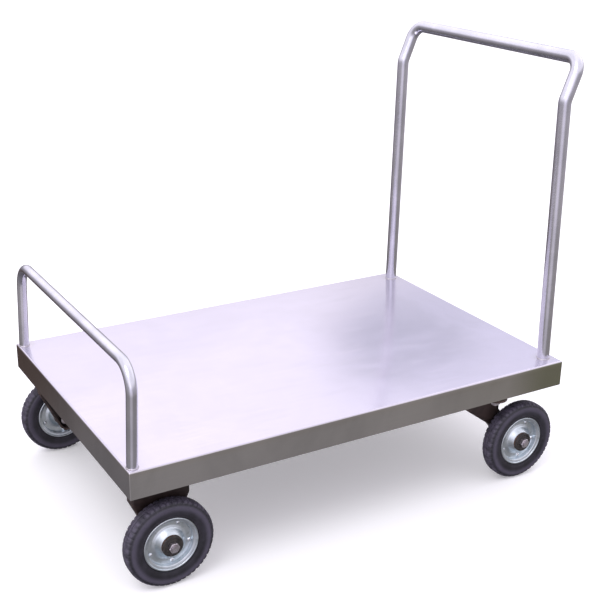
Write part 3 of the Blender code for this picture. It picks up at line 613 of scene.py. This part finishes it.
def make_deck():
    """Folded tray with a rounded fold, flat skirts and a deburred lower edge."""
    half_x = (deck_high.x - deck_low.x) / 2
    half_y = (deck_high.y - deck_low.y) / 2
    levels = []
    for index in range(FOLD_STEPS + 1):
        turn = math.radians(90 - 90 * index / FOLD_STEPS)
        levels.append((FOLD_RADIUS - FOLD_RADIUS * math.cos(turn),
                       DECK_TOP - FOLD_RADIUS + FOLD_RADIUS * math.sin(turn)))
    levels += [(0.0, DECK_TOP - STRAIGHT_EDGE), (0.0, deck_low.z + DEBURR), (DEBURR, deck_low.z),
               (SHEET - DEBURR, deck_low.z), (SHEET, deck_low.z + DEBURR),
               (SHEET, DECK_TOP - SHEET - INNER_FOLD), (SHEET + INNER_FOLD, DECK_TOP - SHEET)]
    bm = bmesh.new()
    loops = []
    for inward, height in levels:
        corner = max(CORNER_RADIUS - inward, LEAST_CORNER)
        outline = rounded_outline(half_x - inward, half_y - inward, corner, CORNER_STEPS)
        loops.append([bm.verts.new((DECK_MID.x + a, b, height)) for a, b in outline])
    for first, second in zip(loops, loops[1:]):
        bridge(bm, first, second)
    bm.faces.new(loops[-1])
    bm.faces.new(loops[0])
    return finish_mesh("deck", bm, SHEET_LOOK, 30)


deck = make_deck()
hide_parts("deck_tray")
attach(deck, "chassis")


# ------------------------------------------------------------------------- tubes

def weld_ring(name, at, radius, bead, seed):
    """Rippled weld bead round a post's foot."""
    sides = 120
    steps = 10
    ripples = 30
    thick = 0.62
    sunk = 0.10
    bm = bmesh.new()
    loops = []
    for index in range(sides):
        turn = 2 * math.pi * index / sides
        ripple = 0.10 * math.sin(turn * ripples) + 0.16 * noise.noise(Vector((
            math.cos(turn) * 2.2, math.sin(turn) * 2.2, seed)))
        size = bead * (1.0 + ripple)
        ring = []
        for step in range(steps):
            around = 2 * math.pi * step / steps
            out = radius + size * thick * math.cos(around) - bead * sunk
            up = size * thick * math.sin(around)
            ring.append(bm.verts.new((out * math.cos(turn), out * math.sin(turn), up)))
        loops.append(ring)
    for index in range(sides):
        bridge(bm, loops[index], loops[(index + 1) % sides])
    return finish_mesh(name, bm, WELD_LOOK, 60, at)


def make_push_handle():
    """Tall bent tube with close bends, swept on the CAD tube's line."""
    radius = HANDLE_RADIUS
    bar_z = handle_high.z - radius
    bar_x = handle_high.x - radius
    kink_z = DECK_TOP + HANDLE_KINK_RISE
    y = handle_y
    upper = handle_y - HANDLE_TAPER
    foot_z = DECK_TOP + STRAIGHT_FOOT
    corners = [
        (Vector((handle_x, -y, DECK_TOP)), 0),
        (Vector((handle_x, -y, foot_z)), HANDLE_BEND),
        (Vector((handle_x, -upper, kink_z)), HANDLE_KINK_BEND),
        (Vector((bar_x, -upper, bar_z)), HANDLE_BEND),
        (Vector((bar_x, upper, bar_z)), HANDLE_BEND),
        (Vector((handle_x, upper, kink_z)), HANDLE_KINK_BEND),
        (Vector((handle_x, y, foot_z)), HANDLE_BEND),
        (Vector((handle_x, y, DECK_TOP)), 0),
    ]
    bm = tube(dense(rounded_path(corners, 14), TUBE_STEP), radius, TUBE_WALL, TUBE_SIDES)
    return finish_mesh("push_handle_tube", bm, TUBE_LOOK, 50)


def make_guard_rail():
    """Low bent tube, leaning slightly over the deck."""
    radius = RAIL_RADIUS
    bar_z = rail_high.z - radius
    bar_x = rail_high.x - radius
    y = rail_y
    foot_z = DECK_TOP + STRAIGHT_FOOT
    corners = [
        (Vector((rail_x, -y, DECK_TOP)), 0),
        (Vector((rail_x, -y, foot_z)), RAIL_BEND),
        (Vector((bar_x, -y, bar_z)), RAIL_BEND),
        (Vector((bar_x, y, bar_z)), RAIL_BEND),
        (Vector((rail_x, y, foot_z)), RAIL_BEND),
        (Vector((rail_x, y, DECK_TOP)), 0),
    ]
    bm = tube(dense(rounded_path(corners, 20), TUBE_STEP), radius, TUBE_WALL, TUBE_SIDES)
    return finish_mesh("guard_rail_tube", bm, TUBE_LOOK, 50)


for piece, node in ((make_push_handle(), "push_handle"), (make_guard_rail(), "guard_rail")):
    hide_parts(node)
    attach(piece, "chassis")
for index, (name, x, y, radius) in enumerate(FEET):
    bead = weld_ring(name, (x, y, DECK_TOP), radius, WELD_BEAD, 3.0 + index)
    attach(bead, "chassis")


# ------------------------------------------------------------------------ wheels

TYRE_RADIUS = middle("tyre_fixed_near").z


def tyre_section():
    """Closed (radius, offset) section of the solid tyre: one half, then its mirror image."""
    r = TYRE_RADIUS
    seat = [(SEAT + 0.0003, 0.0), (SEAT + 0.0003, RIM_EDGE - 0.0055),
            (RIM_LIP - 0.0010, RIM_EDGE - 0.0026), (RIM_LIP + 0.0004, RIM_EDGE - 0.0019),
            (RIM_LIP + 0.0008, RIM_EDGE + 0.0012)]
    wall = [(RIM_LIP + 0.0022, RIM_EDGE + 0.0016), (RIM_LIP + 0.0045, RIM_EDGE + 0.0024),
            (RIM_LIP + 0.0052, RIM_EDGE + 0.0020), (RIM_LIP + 0.0062, RIM_EDGE + 0.0026),
            (RIM_LIP + 0.0100, RIM_EDGE + 0.0034), (RIM_LIP + 0.0150, RIM_EDGE + 0.0038),
            (r - 0.0180, RIM_EDGE + 0.0039), (r - 0.0160, TYRE_HALF - 0.0002)]
    shoulder = [(r - 0.0140, TYRE_HALF), (r - 0.0118, TYRE_HALF - 0.0002),
                (r - 0.0102, TYRE_HALF - 0.0010), (r - 0.0090, TYRE_HALF - 0.0024),
                (r - 0.0078, TYRE_HALF - 0.0026), (r - 0.0050, TYRE_HALF - 0.0038),
                (r - 0.0026, TYRE_HALF - 0.0062), (r - 0.0009, TYRE_HALF - 0.0090),
                (r - 0.0003, TYRE_HALF - 0.0116)]
    groove = [(r - 0.0001, 0.0060), (r - 0.0002, 0.0054), (r - 0.0016, 0.0050),
              (r - 0.0016, 0.0040), (r - 0.0002, 0.0036), (r, 0.0030)]
    half = seat + wall + shoulder + groove
    mirrored = [(radius, -along) for radius, along in reversed(half) if along > 0]
    return half + mirrored


def tread(turn, radius, along):
    """Shallow notches across the shoulders of the tread, staggered between the two sides."""
    if radius > TYRE_RADIUS - NOTCH_REACH and abs(along) > NOTCH_INNER_END:
        phase = (turn / (2 * math.pi) * NOTCHES + (0.5 if along < 0 else 0.0)) % 1.0
        if phase < NOTCH_SHARE:
            radius -= NOTCH_DEPTH * math.sin(phase / NOTCH_SHARE * math.pi) ** 0.5
    return radius, along


def rim_outer_section():
    """Closed (radius, offset) section of a pressed disc half with a rolled lip."""
    face = [(HUB_RADIUS + 0.0003, RIM_EDGE + 0.0002), (HUB_RADIUS + 0.0022, RIM_EDGE - 0.0010),
            (HUB_RADIUS + 0.0065, RIM_EDGE - 0.0062), (HUB_RADIUS + 0.0110, RIM_EDGE - 0.0118),
            (HUB_RADIUS + 0.0148, 0.0034), (HUB_RADIUS + 0.0172, 0.0023), (0.0450, 0.00215),
            (0.0525, 0.00215), (0.0537, 0.0026), (0.0542, 0.0040), (0.0544, 0.0090),
            (0.0546, RIM_EDGE - 0.0050), (0.0556, RIM_EDGE - 0.0034),
            (0.0580, RIM_EDGE - 0.0024), (0.0610, RIM_EDGE - 0.0014)]
    face = smooth_line(face, 2)
    lip = arc((RIM_LIP - 0.0024, RIM_EDGE - 0.0016), 0.0026, 140, -60, 12)
    back = [(0.0615, RIM_EDGE - 0.0036), (0.0580, RIM_EDGE - 0.0046),
            (SEAT, RIM_EDGE - 0.0058), (SEAT, 0.0002), (HUB_RADIUS + 0.0163, 0.0002),
            (HUB_RADIUS + 0.0126, 0.0020), (HUB_RADIUS + 0.0092, RIM_EDGE - 0.0128),
            (HUB_RADIUS + 0.0003, RIM_EDGE - 0.0022)]
    return face + lip + back


def rivet(name, at, outward):
    """Domed rivet head standing on the disc."""
    profile = [(RIVET_RADIUS, 0.0), (RIVET_RADIUS * 1.02, RIVET_FOOT)]
    for degrees in (15, 32, 50, 68, 82):
        dome = math.radians(degrees)
        profile.append((RIVET_RADIUS * math.cos(dome), RIVET_FOOT + RIVET_RISE * math.sin(dome)))
    bm = bmesh.new()
    loops = []
    for radius, height in profile:
        ring = []
        for step in range(RIVET_SIDES):
            turn = 2 * math.pi * step / RIVET_SIDES
            ring.append(bm.verts.new((radius * math.cos(turn), outward * height,
                                      radius * math.sin(turn))))
        loops.append(ring)
    for first, second in zip(loops, loops[1:]):
        bridge(bm, first, second)
    bm.faces.new(loops[0])
    bm.faces.new(loops[-1])
    return finish_mesh(name, bm, RIVET_LOOK, 50, at)


def make_wheel(label):
    """Detailed tyre, rim halves with rivets and seal in one wheel's place."""
    spot = middle("tyre_" + label)
    out = outward_of(label)
    body = "wheel_" + label
    made = []

    tyre = finish_mesh("tyre_detail_" + label, lathe(tyre_section(), TYRE_SIDES, tread),
                       RUBBER_LOOK, 40, spot)
    made.append((tyre, "tyre_" + label, "rubber"))
    for side, word in ((out, "outer"), (-out, "inner")):
        section = [(r, side * h) for r, h in rim_outer_section()]
        rim = finish_mesh(f"rim_{word}_detail_{label}", lathe(section, RIM_SIDES), ZINC_LOOK, 45, spot)
        made.append((rim, f"rim_{word}_{label}", "zinc_plate"))
        for index in range(RIVETS):
            turn = math.radians(RIVET_ANGLE + 360 / RIVETS * index)
            at = spot + Vector((RIVET_CIRCLE * math.cos(turn), side * RIM_FACE,
                                RIVET_CIRCLE * math.sin(turn)))
            head = rivet(f"rivet_{word}_{index}_{label}", at, side)
            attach(head, body)

    low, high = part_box("hub_seal_" + label)
    face = (high.y if out > 0 else -low.y) - out * spot.y
    profile = [(0.0117, face - 0.0027), (0.0117, face - 0.0006), (0.0122, face - 0.0001),
               (0.0155, face), (0.0165, face - 0.0007), (0.0185, face - 0.0009),
               (0.0193, face - 0.0002), (0.0230, face - 0.0001), (0.0243, face - 0.0004),
               (0.0251, face - 0.0013), (0.0252, face - 0.0027)]
    seal = finish_mesh("seal_detail_" + label, lathe([(r, out * h) for r, h in profile], SEAL_SIDES),
                       SEAL_LOOK, 40, spot)
    made.append((seal, "hub_seal_" + label, "seal_rubber"))

    for piece, node, slot in made:
        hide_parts(node)
        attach(piece, body)


for label in WHEELS:
    make_wheel(label)


# ---------------------------------------------------- CAD nodes with softened edges

EDGES = {}
for name in ("castor_beam_fixed", "castor_beam_swivel", "long_rail_near", "long_rail_far", "cross_member"):
    EDGES[name] = FRAME_EDGE
for word in ("near", "far"):
    for kind in ("fixed_bracket_", "swivel_plate_", "swivel_fork_"):
        EDGES[kind + word] = BRACKET_EDGE
for name, width in EDGES.items():
    node = frame["nodes"][name]
    weld = node.modifiers.new("Weld", "WELD")
    weld.merge_threshold = 0.00002
    bevel = node.modifiers.new("Bevel", "BEVEL")
    bevel.width = width
    bevel.segments = 2
    bevel.limit_method = "ANGLE"
    bevel.angle_limit = math.radians(35)
    bevel.harden_normals = False


# ------------------------------------------------------------- floor, light, camera

def make_floor():
    """Wide pale floor; gloss looks past it, at the room's darker lower half."""
    bm = bmesh.new()
    half = 60.0
    corners = [bm.verts.new((a * half, b * half, 0.0)) for a, b in
               ((-1, -1), (1, -1), (1, 1), (-1, 1))]
    bm.faces.new(corners)
    n = Nodes("floor_paper")
    paper = n.noise(n.object_coords(), 40.0, 3.0)
    colour = n.mix(paper, (0.90, 0.90, 0.91), (0.93, 0.93, 0.94))
    floor = finish_mesh("floor", bm, n.finish(
        colour, 0.9, Metallic=0.0, Specular_IOR_Level=0.0, Emission_Color=(1.0, 1.0, 1.0, 1.0),
        Emission_Strength=0.20))
    floor.visible_glossy = False


def toward(azimuth, elevation):
    """Unit direction, the azimuth counted from +Y towards +X, both in degrees."""
    turn = math.radians(azimuth)
    rise = math.radians(elevation)
    return (math.sin(turn) * math.cos(rise), math.cos(turn) * math.cos(rise), math.sin(rise))


def make_world():
    """Soft room: bright above, dim ground below, with a few broad lighter and darker places."""
    n = WorldNodes("soft_room")
    coords = n.add("ShaderNodeTexCoord")
    direction = coords.outputs["Generated"]
    height = n.split(direction)[2]
    ramp = n.add("ShaderNodeValToRGB")
    n.join(n.span(height, -1.0, 1.0, smooth=False), ramp.inputs["Fac"])
    # Each stop is a place from straight down (0) to straight up (1), and its light.
    stops = ((0.00, (0.20, 0.19, 0.21)), (0.20, (0.23, 0.22, 0.235)), (0.255, (0.31, 0.30, 0.31)),
             (0.31, (0.28, 0.262, 0.252)), (0.38, (0.42, 0.395, 0.405)), (0.46, (0.50, 0.475, 0.52)),
             (0.51, (0.52, 0.50, 0.54)), (0.55, (0.72, 0.69, 0.74)), (0.60, (1.06, 1.02, 1.10)),
             (0.65, (1.34, 1.29, 1.40)), (0.72, (1.44, 1.39, 1.51)), (1.00, (1.34, 1.30, 1.40)))
    elements = ramp.color_ramp.elements
    while len(elements) < len(stops):
        elements.new(0.5)
    for element, (place, colour) in zip(elements, stops):
        element.position = place
        element.color = (*colour, 1.0)
    ramp.color_ramp.interpolation = "LINEAR"
    colour = ramp.outputs["Color"]

    def near_to(azimuth, elevation, inner, outer):
        """1 within the inner angle of a direction, 0 beyond the outer one."""
        product = n.add("ShaderNodeVectorMath", operation="DOT_PRODUCT")
        n.join(direction, product.inputs[0])
        product.inputs[1].default_value = toward(azimuth, elevation)
        return n.span(product.outputs["Value"], math.cos(math.radians(outer)),
                      math.cos(math.radians(inner)))

    # Each place has an azimuth, an elevation, an inner and an outer angle, and a factor.
    places = (
        (-150, -12, 5, 36, (1.75, 1.75, 1.88)),
        (-12, -19, 4, 13, (0.50, 0.42, 0.39)),
        (0, -28, 12, 62, (0.60, 0.59, 0.62)),
        (132, -21, 2, 8, (0.82, 0.82, 0.76)),
        (37, 22.8, 2.0, 5.0, (0.70, 0.71, 0.72)),
        (32.6, 20.9, 0.8, 3.4, (0.86, 0.86, 0.87)),
        (-75, 28, 8, 60, (0.80, 0.80, 0.81)),
        (160, 30, 10, 60, (0.76, 0.76, 0.77)),
        (42, 21, 7.6, 10.6, (0.70, 0.72, 0.77)),
    )
    for azimuth, elevation, inner, outer, factor in places:
        part = near_to(azimuth, elevation, inner, outer)
        colour = n.mix(part, colour, n.mix(1.0, colour, factor, "MULTIPLY"))
    path = n.add("ShaderNodeLightPath")
    colour = n.mix(path.outputs["Is Camera Ray"], colour, (1.0, 1.0, 1.0))
    n.join(colour, n.back.inputs["Color"])
    bpy.context.scene.world = n.mat


def make_light():
    """One very soft key, high on the left."""
    data = bpy.data.lights.new("key", "AREA")
    data.shape = "DISK"
    data.size = 2.6
    data.energy = 60.0
    item = bpy.data.objects.new("key", data)
    item.location = (-2.6, -1.6, 4.2)
    item.rotation_euler = (Vector((0, 0, 0.4)) - item.location).to_track_quat("-Z", "Y").to_euler()
    bpy.context.scene.collection.objects.link(item)


def make_camera():
    """Eye-height camera in front of the guard rail end, looking down the deck."""
    azimuth = math.radians(CAMERA_AZIMUTH)
    elevation = math.radians(CAMERA_ELEVATION)
    roll = math.radians(CAMERA_ROLL)
    data = bpy.data.cameras.new("camera")
    data.lens = CAMERA_LENS
    data.sensor_width = 36.0
    data.clip_start = 0.05
    data.clip_end = 200.0
    back = Vector((math.sin(azimuth) * math.cos(elevation),
                   -math.cos(azimuth) * math.cos(elevation), math.sin(elevation)))
    right = Vector((math.cos(azimuth), math.sin(azimuth), 0.0))
    up = back.cross(right)
    rolled_right = right * math.cos(roll) + up * math.sin(roll)
    rolled_up = up * math.cos(roll) - right * math.sin(roll)
    turn = Matrix((rolled_right, rolled_up, back)).transposed()
    item = bpy.data.objects.new("camera", data)
    item.matrix_world = Matrix.Translation(CAMERA_PLACE) @ turn.to_4x4()
    bpy.context.scene.collection.objects.link(item)
    bpy.context.scene.camera = item


make_floor()
make_world()
make_light()
make_camera()
bpy.context.scene.view_settings.view_transform = "Standard"
